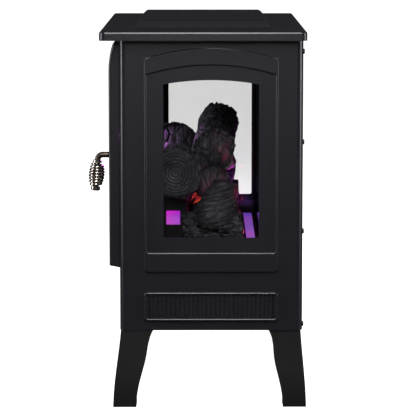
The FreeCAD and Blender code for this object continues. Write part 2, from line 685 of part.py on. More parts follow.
def switch_housing():
    """A snap-in rocker switch body in the back plate."""
    flange = box((-169, BACK_PLATE_REAR, 136), (-136, BODY_REAR + 1.2, 164))
    barrel = box((-166, BACK_PLATE_FRONT - 18, 139), (-139, BACK_PLATE_REAR, 161))
    well = box((-164, BACK_PLATE_FRONT - 10, 141), (-141, BODY_REAR + 2, 159))
    axle = rod((-164, ROCKER_Y, ROCKER_Z), (-141, ROCKER_Y, ROCKER_Z), ROCKER_AXLE)
    return fuse([flange.fuse(barrel).cut(well), axle])


def switch_rocker():
    """The see-saw key on its axle, with a shallow two-sided top, at rest with one end pressed in."""
    y = ROCKER_Y
    points = [(-163, y + 6.1, 142.5), (-163, y + 4.3, 150), (-163, y + 6.1, 157.5), (-163, y - 2.5, 156),
              (-163, y - 2.5, 144)]
    key = prism(points, (21, 0, 0))
    bore = rod((-165, y, ROCKER_Z), (-140, y, ROCKER_Z), ROCKER_AXLE + RUNNING_FIT)
    return key.cut(bore).rotated(Vector(0, y, ROCKER_Z), X_AXIS, -ROCKER_SWING / 2)


def cord_bush():
    """The moulded bush in the back plate where a mains lead would enter."""
    flange = ring((-200, BACK_PLATE_REAR, 150), (-200, BODY_REAR + 1.8, 150), 11, 4.2)
    neck = ring((-200, BACK_PLATE_FRONT - 4, 150), (-200, BACK_PLATE_REAR, 150), 8, 4.2)
    return flange.fuse(neck).removeSplitter()


# ---- door ----
def door_profile(front, bottom, top, back):
    """The door seen from its side: upright, then bending back in a long arc towards the top."""
    bend_start = top - 43
    depth = 6.0
    arc_mid = Vector(0, front + depth * 0.26, bend_start + 20)
    arc_end = Vector(0, front + depth, top - 3)
    edges = [
        Part.LineSegment(Vector(0, back, bottom), Vector(0, front, bottom + 3.2)).toShape(),
        Part.LineSegment(Vector(0, front, bottom + 3.2), Vector(0, front, bend_start)).toShape(),
        Part.Arc(Vector(0, front, bend_start), arc_mid, arc_end).toShape(),
        Part.LineSegment(arc_end, Vector(0, front + depth + 5, top)).toShape(),
        Part.LineSegment(Vector(0, front + depth + 5, top), Vector(0, back, top)).toShape(),
        Part.LineSegment(Vector(0, back, top), Vector(0, back, bottom)).toShape(),
    ]
    return face_of(edges)


def door_frame():
    solid = door_profile(DOOR_FRONT, DOOR_BOTTOM, DOOR_TOP, DOOR_BACK)
    solid = solid.extrude(Vector(2 * DOOR_HALF, 0, 0)).translated(Vector(-DOOR_HALF, 0, 0))
    sides = [edge for edge in solid.Edges if abs(abs(edge.CenterOfMass.x) - DOOR_HALF) < 0.01
             and edge.BoundBox.YMax < DOOR_FRONT + 6.5]
    solid = solid.makeFillet(4.0, sides)
    inner = DOOR_FRONT + DOOR_WALL
    hollow = box((-DOOR_HALF + 4.5, inner + 4.5, DOOR_BOTTOM + 7), (DOOR_HALF - 4.5, DOOR_BACK + 1, 553))
    rim = front_arch(212, 244, 512, 540, 6, inner, DOOR_BACK + 1)
    moulding = front_arch(206, 250, 505, 533, 5, DOOR_FRONT - 1, DOOR_FRONT + 2.0)
    window = front_arch(196, 262, 492, 520, 4, DOOR_FRONT - 1, DOOR_BACK + 1)
    shaft = rod((HANDLE_X, DOOR_FRONT - 1, HANDLE_Z), (HANDLE_X, DOOR_BACK + 1, HANDLE_Z),
                HANDLE_ROD + RUNNING_FIT)
    boss = rod((HANDLE_X, DOOR_FRONT + 2, HANDLE_Z), (HANDLE_X, DOOR_BACK - 3, HANDLE_Z), 9)
    solid = solid.cut(hollow).cut(rim).fuse(boss).removeSplitter()
    return solid.cut(moulding).cut(window).cut(shaft)


def door_glass():
    inner = DOOR_FRONT + DOOR_WALL
    return front_arch(205, 252, 504, 532, 5, inner, inner + GLASS)


def glass_frame():
    """The flat ring behind the door's pane that clamps it in the frame."""
    start = DOOR_FRONT + DOOR_WALL + GLASS
    outer = front_arch(210, 246, 510, 538, 6, start, start + SHEET)
    inner = front_arch(197, 261, 493, 521, 4, start - 1, start + 3)
    return outer.cut(inner)


def door_rope():
    """The soft rope seal in the back of the door."""
    outer = front_arch(244, 222, 520, 549, 8, DOOR_BACK - 6, DOOR_BACK)
    inner = front_arch(237.5, 229, 515, 543, 5, DOOR_BACK - 7, DOOR_BACK + 1)
    return outer.cut(inner)


HINGE_X = -DOOR_HALF - 6.0
HINGE_Y = DOOR_BACK - 6.5
HINGE_LEVELS = (282.0, 498.0)
KNUCKLE = 4.5
PIN = 2.5


def hinge_fixed():
    """Two cabinet hinge halves: a lower knuckle and a leaf screwed to the side panel's front."""
    halves = []
    for z in HINGE_LEVELS:
        knuckle = rod((HINGE_X, HINGE_Y, z - 16), (HINGE_X, HINGE_Y, z - 0.3), KNUCKLE)
        arm = box((HINGE_X - 2, HINGE_Y, z - 16), (HINGE_X + 2, BODY_FRONT, z - 0.3))
        leaf = box((HINGE_X - 7, DOOR_BACK - 1.5, z - 16), (HINGE_X + 2, BODY_FRONT, z - 0.3))
        halves.append(fuse([knuckle, arm, leaf]))
    return group(halves)


def hinge_pins():
    pins = []
    for z in HINGE_LEVELS:
        stem = rod((HINGE_X, HINGE_Y, z - 16), (HINGE_X, HINGE_Y, z + 16), PIN)
        crown = rod((HINGE_X, HINGE_Y, z + 16.3), (HINGE_X, HINGE_Y, z + 18.5), KNUCKLE - 1)
        crown = crown.fuse(rod((HINGE_X, HINGE_Y, z + 15), (HINGE_X, HINGE_Y, z + 17), PIN))
        pins.append(stem.fuse(crown).removeSplitter())
    return pins


def hinge_fixed_with_pins():
    halves = hinge_fixed().Solids
    return group([half.fuse(pin).removeSplitter() for half, pin in zip(halves, hinge_pins())])


def hinge_moving():
    """Two door hinge halves that turn on the pins."""
    halves = []
    for z in HINGE_LEVELS:
        knuckle = rod((HINGE_X, HINGE_Y, z), (HINGE_X, HINGE_Y, z + 16), KNUCKLE)
        leaf = box((HINGE_X, HINGE_Y - 1.5, z), (-DOOR_HALF, HINGE_Y + 1.5, z + 16))
        bore = rod((HINGE_X, HINGE_Y, z - 1), (HINGE_X, HINGE_Y, z + 17), PIN + RUNNING_FIT)
        halves.append(knuckle.fuse(leaf).removeSplitter().cut(bore))
    return group(halves)


def magnet_catch():
    """A magnet block set in the front plate, which holds the keeper on the door."""
    return box((244.6, BODY_FRONT, 474), (252.4, FACE_PLATE_BACK + 12, 496))


def catch_keeper():
    return box((244.6, DOOR_BACK - 4, 476), (249.5, DOOR_BACK, 494))


# ---- handle ----
def grip_axis():
    """Where the rod's bend ends, in y and z: the coil grip hangs from here, leaning forward."""
    lean = math.radians(GRIP_LEAN)
    reach = math.sin(lean) * (HANDLE_Z - HANDLE_BEND - (GRIP_TOP + GRIP_BOTTOM) / 2)
    y = HANDLE_FRONT + GRIP_RADIUS + reach
    z = HANDLE_Z - HANDLE_BEND * (1 - math.sin(lean))
    return y, z


def leaned(shape):
    """Tips a piece that was made upright on the grip's axis."""
    y, z = grip_axis()
    return shape.rotated(Vector(HANDLE_X, y, z), X_AXIS, -GRIP_LEAN)


def handle_shaft():
    """A bent rod: through the door, round a bend, then down inside the coil grip."""
    lean = math.radians(GRIP_LEAN)
    y, z = grip_axis()
    centre_y = y + HANDLE_BEND * math.cos(lean)
    centre_z = HANDLE_Z - HANDLE_BEND
    half = (math.pi / 2 - lean) / 2
    start = Vector(HANDLE_X, DOOR_BACK - 2.0, HANDLE_Z)
    corner = Vector(HANDLE_X, centre_y, HANDLE_Z)
    middle = Vector(HANDLE_X, centre_y - HANDLE_BEND * math.sin(half),
                    centre_z + HANDLE_BEND * math.cos(half))
    below = Vector(HANDLE_X, y, centre_z + HANDLE_BEND * math.sin(lean))
    length = below.z - GRIP_BOTTOM + 5
    tip = below - Vector(0, math.sin(lean), math.cos(lean)) * length
    path = Part.Wire([Part.LineSegment(start, corner).toShape(),
                      Part.Arc(corner, middle, below).toShape(),
                      Part.LineSegment(below, tip).toShape()])
    circle = Part.Wire([Part.makeCircle(HANDLE_ROD, start, Y_AXIS)])
    return path.makePipeShell([circle], True, True)


def lock_nut():
    nut = rod((HANDLE_X, DOOR_BACK - 2.5, HANDLE_Z), (HANDLE_X, DOOR_BACK - 0.1, HANDLE_Z), 7.5)
    return nut.cut(rod((HANDLE_X, DOOR_BACK - 4, HANDLE_Z), (HANDLE_X, DOOR_BACK - 2, HANDLE_Z), HANDLE_ROD))


def coil_grip():
    """The wound wire grip as a barrel of touching turns."""
    grip_y = grip_axis()[0]
    height = GRIP_TOP - GRIP_BOTTOM - 6
    turns = []
    count = GRIP_TURNS
    pitch = height / count
    for index in range(count):
        z = GRIP_BOTTOM + 3 + pitch * (index + 0.5)
        share = (2.0 * (index + 0.5) / count) - 1
        radius = GRIP_RADIUS - GRIP_WIRE * 1.5 - 4.2 * share * share
        turns.append(Part.makeTorus(radius, pitch * 0.52, Vector(HANDLE_X, grip_y, z)))
    low, high = (HANDLE_X, grip_y, GRIP_BOTTOM), (HANDLE_X, grip_y, GRIP_TOP - 3)
    barrel = fuse([rod(low, high, HANDLE_ROD + 2)] + turns)
    barrel = barrel.common(rod(low, high, GRIP_RADIUS * 2))
    return leaned(barrel.cut(rod(low, high, HANDLE_ROD)))


def grip_collar():
    """The turned ferrule between the rod's bend and the coil."""
    grip_y = grip_axis()[0]
    low, high = GRIP_TOP - 3, GRIP_TOP + 0.5
    return leaned(ring((HANDLE_X, grip_y, low), (HANDLE_X, grip_y, high), 7.0, HANDLE_ROD))


def grip_nut():
    """The domed nut on the rod's lower end."""
    grip_y = grip_axis()[0]
    low, high = GRIP_BOTTOM - 6, GRIP_BOTTOM
    nut = rod((HANDLE_X, grip_y, low), (HANDLE_X, grip_y, high), 7.2)
    nut = nut.makeFillet(2.2, edges_on(nut, Z_AXIS, low))
    return leaned(nut.cut(rod((HANDLE_X, grip_y, GRIP_BOTTOM - 5), (HANDLE_X, grip_y, high), HANDLE_ROD)))


# ---- every node of the assembly ----
def assembly():
    clips = glass_clips()
    seal = side_seal()
    tunnel_lens = box((150, -74.5, 262), (153, -19.5, 292))
    nodes = {
        "top_cap": top_cap(),
        "side_panel_right": side_panel_right(),
        "front_plate": front_plate(),
        "outlet_grille": outlet_grille(),
        "back_plate": back_plate(),
        "base_pan": base_pan(),
        "cabinet_screws": cabinet_screws(),
        "leg_bolts": leg_bolts(),
        "side_glass_right": side_glass(),
        "side_seals": group([seal, mirror_x(seal)]),
        "glass_clips": group(clips + [mirror_x(clip) for clip in clips]),
        "firebox_floor": firebox_floor(),
        "firebox_roof": firebox_roof(),
        "slot_diffuser": slot_diffuser(),
        "flame_screen": flame_screen(),
        "screen_channels": screen_channels(),
        "log_stand": log_stand(),
        "ember_bed": ember_bed(),
        "led_strips": group([led_strip((-140, -52, FLOOR_Z), (140, -42, FLOOR_Z + 1.6), 20),
                             led_strip((-230, 81, FLOOR_Z - 8), (230, 93, FLOOR_Z - 6.4), 20)]),
        "tunnel_lenses": group([tunnel_lens, mirror_x(tunnel_lens)]),
        "flame_rotor": flame_rotor(),
        "rotor_motor": rotor_motor(),
        "rotor_brackets": group([motor_bracket(), rotor_bearing()]),
        "flame_reflector": flame_reflector(),
        "blower_wheel": blower_wheel(),
        "blower_housing": blower_housing(),
        "blower_motor": blower_motor(),
        "outlet_duct": outlet_duct(),
        "heater_element": heater_element(),
        "thermal_cutout": thermal_cutout(),
        "control_panel": control_panel(),
        "key_board": key_board(),
        "main_board": main_board(),
        "switch_housing": switch_housing(),
        "switch_rocker": switch_rocker(),
        "cord_bush": cord_bush(),
        "door_frame": door_frame(),
        "door_glass": door_glass(),
        "glass_frame": glass_frame(),
        "door_rope": door_rope(),
        "hinge_fixed": hinge_fixed_with_pins(),
        "hinge_moving": hinge_moving(),
        "magnet_catch": magnet_catch(),
        "catch_keeper": catch_keeper(),
        "handle_shaft": handle_shaft(),
        "coil_grip": coil_grip(),
        "grip_ferrules": group([grip_collar(), grip_nut(), lock_nut()]),
    }
    for name in ("side_panel", "side_glass"):
        nodes[name + "_left"] = mirror_x(nodes[name + "_right"])
    for name in ("side_panel_right", "side_panel_left", "back_plate", "base_pan"):
        nodes[name] = nodes[name].cut(nodes["cabinet_screws"])
    nodes["base_pan"] = nodes["base_pan"].cut(nodes["leg_bolts"])
    nodes["front_plate"] = nodes["front_plate"].cut(nodes["magnet_catch"])
    for front_side, name in ((True, "front_legs"), (False, "rear_legs")):
        pair = [leg(front_side, right_side) for right_side in (True, False)]
        nodes[name] = group([casting.cut(nodes["leg_bolts"]) for casting in pair])
    for name, (start, end, thick, thin) in LOGS.items():
        nodes[name] = leaning_log(start, end, thick, thin)
    end_logs = leaning_log(*END_LOG).fuse(leaning_log(*STUMP))
    nodes["end_logs"] = group([end_logs, mirror_x(end_logs)])
    for name, x in BUTTON_PLACES.items():
        nodes[name] = push_button(x)
    return nodes


def main():
    os.makedirs("parts", exist_ok=True)
    for name, shape in assembly().items():
        shape.exportStep("parts/" + name + ".step")
        limits = shape.BoundBox
        print(f"{name:20s} {len(shape.Solids):3d} solids  valid {shape.isValid()}  "
              f"x {limits.XMin:.1f}..{limits.XMax:.1f}  y {limits.YMin:.1f}..{limits.YMax:.1f}  "
              f"z {limits.ZMin:.1f}..{limits.ZMax:.1f}  volume {shape.Volume:.0f}")


main()
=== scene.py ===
import json
import math
import random

import bmesh
import bpy
from mathutils import Matrix, Vector, noise


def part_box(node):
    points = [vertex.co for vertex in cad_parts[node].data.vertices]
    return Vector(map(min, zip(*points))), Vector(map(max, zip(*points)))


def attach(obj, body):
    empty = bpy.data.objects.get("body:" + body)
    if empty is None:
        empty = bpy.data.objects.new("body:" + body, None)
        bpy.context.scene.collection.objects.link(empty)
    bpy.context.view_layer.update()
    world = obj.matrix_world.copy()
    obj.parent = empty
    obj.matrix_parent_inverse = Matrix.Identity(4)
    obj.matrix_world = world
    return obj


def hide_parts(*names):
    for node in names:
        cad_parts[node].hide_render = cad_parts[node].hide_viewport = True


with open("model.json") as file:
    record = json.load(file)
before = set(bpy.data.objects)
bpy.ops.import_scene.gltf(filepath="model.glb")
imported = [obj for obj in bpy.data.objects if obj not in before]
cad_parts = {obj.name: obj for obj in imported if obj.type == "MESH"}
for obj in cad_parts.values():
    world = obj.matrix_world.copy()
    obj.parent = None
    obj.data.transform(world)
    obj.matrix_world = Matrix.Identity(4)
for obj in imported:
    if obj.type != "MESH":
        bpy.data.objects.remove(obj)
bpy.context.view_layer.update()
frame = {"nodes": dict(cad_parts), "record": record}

MM = 0.001
nodes = frame["nodes"]


# ---- camera: level with the cap, on the right-hand side, looking slightly down ----
def aim_camera():
    data = bpy.data.cameras.new("camera")
    data.lens = 201.3
    data.sensor_width = 36.0
    data.clip_end = 200.0
    camera = bpy.data.objects.new("camera", data)
    bpy.context.collection.objects.link(camera)
    camera.location = (3.820, 0.0098, 0.772)
    pitch, yaw = 0.12966, -0.00199
    camera.rotation_euler = (math.pi / 2 - pitch, 0, math.pi / 2 + yaw)
    bpy.context.scene.camera = camera


aim_camera()


# ---- node-building helpers ----
def new_material(name):
    material = bpy.data.materials.new(name)
    material.use_nodes = True
    tree = material.node_tree
    shader = tree.nodes["Principled BSDF"]
    return material, tree, shader


def node(tree, kind, **values):
    made = tree.nodes.new(kind)
    for key, value in values.items():
        if hasattr(made, key):
            setattr(made, key, value)
        else:
            made.inputs[key.replace("_", " ")].default_value = value
    return made


def noise_map(tree, scale, detail=4.0, roughness=0.6, stretch=None):
    place = node(tree, "ShaderNodeTexCoord")
    made = node(tree, "ShaderNodeTexNoise", Scale=scale, Detail=detail, Roughness=roughness)
    if stretch:
        mapping = node(tree, "ShaderNodeMapping")
        mapping.inputs["Scale"].default_value = stretch
        tree.links.new(place.outputs["Object"], mapping.inputs["Vector"])
        tree.links.new(mapping.outputs["Vector"], made.inputs["Vector"])
    else:
        tree.links.new(place.outputs["Object"], made.inputs["Vector"])
    return made.outputs["Fac"]


def ramp(tree, value, stops):
    made = node(tree, "ShaderNodeValToRGB")
    elements = made.color_ramp.elements
    while len(elements) < len(stops):
        elements.new(0.5)
    for element, (position, colour) in zip(elements, stops):
        element.position = position
        element.color = colour if len(colour) == 4 else (*colour, 1)
    tree.links.new(value, made.inputs["Fac"])
    return made.outputs["Color"]


def spread(tree, value, low, high):
    made = node(tree, "ShaderNodeMapRange")
    made.inputs["To Min"].default_value = low
    made.inputs["To Max"].default_value = high
    tree.links.new(value, made.inputs["Value"])
    return made.outputs["Result"]


def bump(tree, shader, height, distance, strength=1.0, under=None):
    made = node(tree, "ShaderNodeBump", Distance=distance, Strength=strength)
    tree.links.new(height, made.inputs["Height"])
    if under:
        tree.links.new(under, made.inputs["Normal"])
    tree.links.new(made.outputs["Normal"], shader.inputs["Normal"])
    return made.outputs["Normal"]


def grey(level):
    return (level, level, level)


# ---- materials ----
def powder_coat(name, dark, light, rough_low, rough_high, specular, orange_peel):
    """A satin sprayed coat: faint cloudy tone, fine orange peel and a little dust in the gloss."""
    material, tree, shader = new_material(name)
    cloud = noise_map(tree, 9.0, 5.0)
    tree.links.new(ramp(tree, cloud, [(0.3, dark), (0.7, light)]), shader.inputs["Base Color"])
    dust = noise_map(tree, 60.0, 6.0)
    tree.links.new(spread(tree, dust, rough_low, rough_high), shader.inputs["Roughness"])
    shader.inputs["Specular IOR Level"].default_value = specular
    grain = noise_map(tree, 1400.0, 2.0)
    swell = noise_map(tree, 260.0, 2.0)
    first = bump(tree, shader, grain, 0.00006 * orange_peel, 0.5)
    bump(tree, shader, swell, 0.0001 * orange_peel, 0.35, first)
    return material


def cast_iron():
    """A painted casting: coarser skin with small pits."""
    material, tree, shader = new_material("cast_black")
    cloud = noise_map(tree, 14.0, 6.0)
    tree.links.new(ramp(tree, cloud, [(0.3, (0.0025, 0.0025, 0.003)), (0.7, (0.005, 0.005, 0.006))]),
                   shader.inputs["Base Color"])
    tree.links.new(spread(tree, noise_map(tree, 80.0), 0.38, 0.58), shader.inputs["Roughness"])
    shader.inputs["Specular IOR Level"].default_value = 0.18
    first = bump(tree, shader, noise_map(tree, 700.0, 3.0), 0.00018, 0.6)
    bump(tree, shader, noise_map(tree, 120.0, 3.0), 0.0004, 0.4, first)
    return material


def metal(name, low, high, rough_low, rough_high, stretch=(1, 1, 1), grain=400.0):
    """Bare or plated metal with a drawn grain along one axis and a faint mottle."""
    material, tree, shader = new_material(name)
    shader.inputs["Metallic"].default_value = 1.0
    mottle = noise_map(tree, 30.0, 5.0)
    tree.links.new(ramp(tree, mottle, [(0.25, low), (0.75, high)]), shader.inputs["Base Color"])
    lines = noise_map(tree, grain, 3.0, 0.6, stretch)
    tree.links.new(spread(tree, lines, rough_low, rough_high), shader.inputs["Roughness"])
    bump(tree, shader, lines, 0.00003, 0.4)
    return material


def plastic(name, low, high, rough_low=0.35, rough_high=0.5, glow=None, strength=0.0):
    """Moulded plastic with a fine spark-eroded texture, lit from inside where glow is given."""
    material, tree, shader = new_material(name)
    cloud = noise_map(tree, 24.0, 4.0)
    tree.links.new(ramp(tree, cloud, [(0.3, low), (0.7, high)]), shader.inputs["Base Color"])
    tree.links.new(spread(tree, noise_map(tree, 120.0), rough_low, rough_high), shader.inputs["Roughness"])
    bump(tree, shader, noise_map(tree, 2200.0, 2.0), 0.00004, 0.5)
    if glow:
        tint = noise_map(tree, 14.0, 2.0, 0.5, (1.0, 4.0, 4.0))
        tree.links.new(ramp(tree, tint, glow), shader.inputs["Emission Color"])
        shader.inputs["Emission Strength"].default_value = strength
    return material


def thin_glass(name, tint, gloss):
    """A flat pane: tinted light goes straight through, under a weak clear reflection."""
    material = bpy.data.materials.new(name)
    material.use_nodes = True
    tree = material.node_tree
    tree.nodes.clear()
    out = node(tree, "ShaderNodeOutputMaterial")
    clear = node(tree, "ShaderNodeBsdfTransparent")
    smear = noise_map(tree, 7.0, 5.0)
    dark = tuple(channel * 0.985 for channel in tint)
    tree.links.new(ramp(tree, smear, [(0.3, dark), (0.7, tint)]), clear.inputs["Color"])
    shine = node(tree, "ShaderNodeBsdfGlossy")
    shine.inputs["Roughness"].default_value = 0.03
    shine.inputs["Color"].default_value = (*grey(gloss), 1)
    edge = node(tree, "ShaderNodeFresnel", IOR=1.45)
    mix = node(tree, "ShaderNodeMixShader")
    tree.links.new(edge.outputs["Fac"], mix.inputs["Fac"])
    tree.links.new(clear.outputs["BSDF"], mix.inputs[1])
    tree.links.new(shine.outputs["BSDF"], mix.inputs[2])
    tree.links.new(mix.outputs["Shader"], out.inputs["Surface"])
    return material


def charred_wood(name):
    """Burnt bark: soot-black char with grey ash patches and brown where bark is left; painted shade darkens
    the cracks and a painted highlight lightens the ridges.
    """
    material, tree, shader = new_material(name)
    patch = noise_map(tree, 16.0, 8.0, 0.65)
    char = ramp(tree, patch, [(0.30, (0.006, 0.006, 0.008)), (0.50, (0.030, 0.029, 0.036)),
                              (0.68, (0.10, 0.097, 0.115))])
    ash = noise_map(tree, 110.0, 8.0, 0.7)
    mask = ramp(tree, ash, [(0.50, grey(0.0)), (0.72, grey(1.0))])
    mix = node(tree, "ShaderNodeMix", data_type="RGBA")
    mix.inputs[7].default_value = (0.13, 0.125, 0.14, 1)
    tree.links.new(mask, mix.inputs[0])
    tree.links.new(char, mix.inputs[6])
    # painted shade and highlight: Pointiness multiplies the char and ash colour down to a quarter in the
    # cracks and up to almost double on the ridges
    edge = node(tree, "ShaderNodeNewGeometry")
    crease_shade_ridge_highlight = ramp(tree, edge.outputs["Pointiness"], [(0.44, grey(0.25)), (0.50, grey(0.85)), (0.58, grey(1.9))])
    shade_painted_char = node(tree, "ShaderNodeMix", data_type="RGBA", blend_type="MULTIPLY")
    shade_painted_char.inputs[0].default_value = 1.0
    tree.links.new(mix.outputs[2], shade_painted_char.inputs[6])
    tree.links.new(crease_shade_ridge_highlight, shade_painted_char.inputs[7])
    tree.links.new(shade_painted_char.outputs[2], shader.inputs["Base Color"])
    tree.links.new(spread(tree, ash, 0.42, 0.8), shader.inputs["Roughness"])
    shader.inputs["Specular IOR Level"].default_value = 0.5
    first = bump(tree, shader, noise_map(tree, 320.0, 8.0, 0.7), 0.0016, 0.8)
    bump(tree, shader, noise_map(tree, 90.0, 6.0, 0.6), 0.003, 0.5, first)
    return material


def glowing_coal():
    """Moulded coals: black crust whose deep cracks glow orange and red."""
    material, tree, shader = new_material("ember_resin")
    crust = noise_map(tree, 70.0, 8.0, 0.65)
    tree.links.new(ramp(tree, crust, [(0.35, (0.06, 0.012, 0.004)), (0.6, (0.03, 0.027, 0.026)),
                                      (0.8, (0.11, 0.10, 0.10))]), shader.inputs["Base Color"])
    shader.inputs["Roughness"].default_value = 0.75
    heat = noise_map(tree, 26.0, 3.0, 0.5)
    tree.links.new(ramp(tree, heat, [(0.52, (0, 0, 0)), (0.60, (0.35, 0.02, 0.03)), (0.68, (1.0, 0.16, 0.02)),
                                     (0.8, (1.0, 0.4, 0.06))]), shader.inputs["Emission Color"])
    shader.inputs["Emission Strength"].default_value = 0.9
    bump(tree, shader, noise_map(tree, 260.0, 6.0), 0.001, 0.7)
    return material


def circuit():
    """Green solder mask with a faint grid of copper tracks under it."""
    material, tree, shader = new_material("circuit_board")
    place = node(tree, "ShaderNodeTexCoord")
    tracks = node(tree, "ShaderNodeTexBrick", Scale=60.0)
    tracks.inputs["Color1"].default_value = (0.012, 0.10, 0.04, 1)
    tracks.inputs["Color2"].default_value = (0.016, 0.13, 0.05, 1)
    tracks.inputs["Mortar"].default_value = (0.03, 0.20, 0.09, 1)
    tree.links.new(place.outputs["Object"], tracks.inputs["Vector"])
    tree.links.new(tracks.outputs["Color"], shader.inputs["Base Color"])
    shader.inputs["Roughness"].default_value = 0.35
    bump(tree, shader, tracks.outputs["Fac"], 0.0001, 0.5)
    return material


def ceramic():
    material, tree, shader = new_material("white_ceramic")
    cloud = noise_map(tree, 90.0, 4.0)
    tree.links.new(ramp(tree, cloud, [(0.3, (0.70, 0.68, 0.63)), (0.7, (0.80, 0.78, 0.73))]),
                   shader.inputs["Base Color"])
    shader.inputs["Roughness"].default_value = 0.5
    return material


def rope():
    """Braided fibre: diagonal strands crossing in two directions."""
    material, tree, shader = new_material("rope_seal")
    place = node(tree, "ShaderNodeTexCoord")
    weave = node(tree, "ShaderNodeTexWave", Scale=170.0, Distortion=1.5)
    weave.bands_direction = "DIAGONAL"
    tree.links.new(place.outputs["Object"], weave.inputs["Vector"])
    tree.links.new(ramp(tree, weave.outputs["Fac"], [(0.2, grey(0.02)), (0.8, grey(0.09))]),
                   shader.inputs["Base Color"])
    shader.inputs["Roughness"].default_value = 0.95
    bump(tree, shader, weave.outputs["Fac"], 0.001, 0.8)
    return material


VIOLET_GLOW = [(0.35, (0.20, 0.05, 0.95)), (0.5, (0.36, 0.12, 1.0)), (0.65, (0.75, 0.10, 1.0))]
MAGENTA_GLOW = [(0.35, (0.85, 0.015, 0.85)), (0.65, (0.45, 0.01, 0.95))]

FINISH = {
    "black_steel": powder_coat("black_steel", (0.0068, 0.0062, 0.0092), (0.0088, 0.0082, 0.0115),
                               0.27, 0.31, 0.5, 0.25),
    "cast_black": cast_iron(),
    "black_screw": metal("black_screw", (0.03, 0.03, 0.033), (0.07, 0.07, 0.075), 0.3, 0.45),
    "zinc_steel": metal("zinc_steel", (0.42, 0.43, 0.45), (0.58, 0.59, 0.60), 0.3, 0.45, (1, 12, 12)),
    "firebox_black": powder_coat("firebox_black", grey(0.007), grey(0.013), 0.6, 0.8, 0.2, 2.0),
    "clear_glass": thin_glass("clear_glass", (0.90, 0.90, 0.90), 0.25),
    "dark_screen": thin_glass("dark_screen", (0.03, 0.03, 0.035), 0.15),
    "seal_rubber": plastic("seal_rubber", grey(0.012), grey(0.02), 0.6, 0.8),
    "rope_seal": rope(),
    "charred_log": charred_wood("charred_log"),
    "ember_resin": glowing_coal(),
    "lit_diffuser": plastic("lit_diffuser", (0.5, 0.4, 0.8), (0.6, 0.45, 0.9), 0.4, 0.6, VIOLET_GLOW, 0.42),
    "light_board": plastic("light_board", (0.5, 0.2, 0.5), (0.6, 0.3, 0.6), 0.4, 0.6, MAGENTA_GLOW, 0.5),
    "bright_aluminium": metal("bright_aluminium", grey(0.66), grey(0.82), 0.12, 0.3, (1, 10, 10)),
    "white_ceramic": ceramic(),
    "black_plastic": plastic("black_plastic", grey(0.010), grey(0.016)),
    "button_plastic": plastic("button_plastic", grey(0.03), grey(0.045), 0.25, 0.4),
    "circuit_board": circuit(),
    "dark_rod": metal("dark_rod", (0.035, 0.028, 0.022), (0.10, 0.085, 0.07), 0.3, 0.5),
    "nickel_wire": metal("nickel_wire", (0.42, 0.37, 0.32), (0.74, 0.69, 0.63), 0.14, 0.3),
}


def finish_nodes():
    for part in frame["record"]["subparts"]:
        piece = nodes[part["node"]]
        piece.data.materials.clear()
        piece.data.materials.append(FINISH[part["material_slot"]])


finish_nodes()


# ---- mesh helpers ----
def add_mesh(name, vertices, faces, body, slot, replaced):
    """A new piece that rides on a body, has a slot's finish and stands in for CAD nodes."""
    mesh = bpy.data.meshes.new(name)
    mesh.from_pydata([tuple(v) for v in vertices], [], faces)
    mesh.validate()
    mesh.update()
    mesh.polygons.foreach_set("use_smooth", [True] * len(mesh.polygons))
    piece = bpy.data.objects.new(name, mesh)
    bpy.context.collection.objects.link(piece)
    mesh.materials.append(FINISH[slot])
    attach(piece, body)
    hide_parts(*replaced)


def tube(points, radius, sides):
    """Vertices and faces of a round tube with closed ends along a list of points."""
    vertices, faces = [], []
    side = None
    for index, point in enumerate(points):
        ahead = points[min(index + 1, len(points) - 1)] - points[max(index - 1, 0)]
        ahead.normalize()
        if side is None:
            side = ahead.orthogonal().normalized()
        side = (side - ahead * side.dot(ahead)).normalized()
        other = ahead.cross(side)
        for step in range(sides):
            angle = 2 * math.pi * step / sides
            vertices.append(point + (side * math.cos(angle) + other * math.sin(angle)) * radius)
    for row in range(len(points) - 1):
        for step in range(sides):
            after = (step + 1) % sides
            a, b = row * sides, (row + 1) * sides
            faces.append((a + step, a + after, b + after, b + step))
    faces.append(tuple(range(sides))[::-1])
    last = (len(points) - 1) * sides
    faces.append(tuple(last + step for step in range(sides)))
    return vertices, faces


def joined(pieces):
    """Several (vertices, faces) pairs as one."""
    vertices, faces = [], []
    for more, more_faces in pieces:
        start = len(vertices)
        vertices += more
        faces += [tuple(start + corner for corner in face) for face in more_faces]
    return vertices, faces


# ---- the log set ----
RING_PITCH = 5.2 * MM
BARK_DEPTH = 5.5 * MM
ROW_PITCH = 1.6 * MM
END_MARGIN = 3 * MM
AROUND = 168


def bark_depth(u, v, seed):
    """How far the bark is cut in, 0 to 1, at a distance u round the log and v along it."""
    wobble = noise.noise(Vector((u * 22, v * 22, seed))) * 0.35
    cell = noise.voronoi(Vector((u / (15 * MM) + wobble, v / (27 * MM) + wobble, seed * 3.1)))[0]
    crack = max(0.0, 1 - (cell[1] - cell[0]) / 0.22)
    fine = noise.fractal(Vector((u * 240, v * 90, seed)), 0.6, 2.1, 5)
    return 0.62 * crack + 0.34 * (0.5 + 0.5 * fine)


def ring_depth(r, angle, seed):
    """The relief of a sawn end: growth rings, radial splits and a rough surface."""
    drift = 1.5 * MM * noise.noise(Vector((math.cos(angle), math.sin(angle), seed)))
    ring = 0.5 + 0.5 * math.cos(2 * math.pi * (r + drift) / RING_PITCH)
    split = max(0.0, 1 - abs(math.sin(angle * 2.5 + seed)) / 0.07) * min(1.0, r / (12 * MM))
    rough = noise.fractal(Vector((r * math.cos(angle) * 300, r * math.sin(angle) * 300, seed)), 0.7, 2.0, 4)
    return 1.7 * MM * ring ** 2 + 1.6 * MM * split + 0.5 * MM * rough


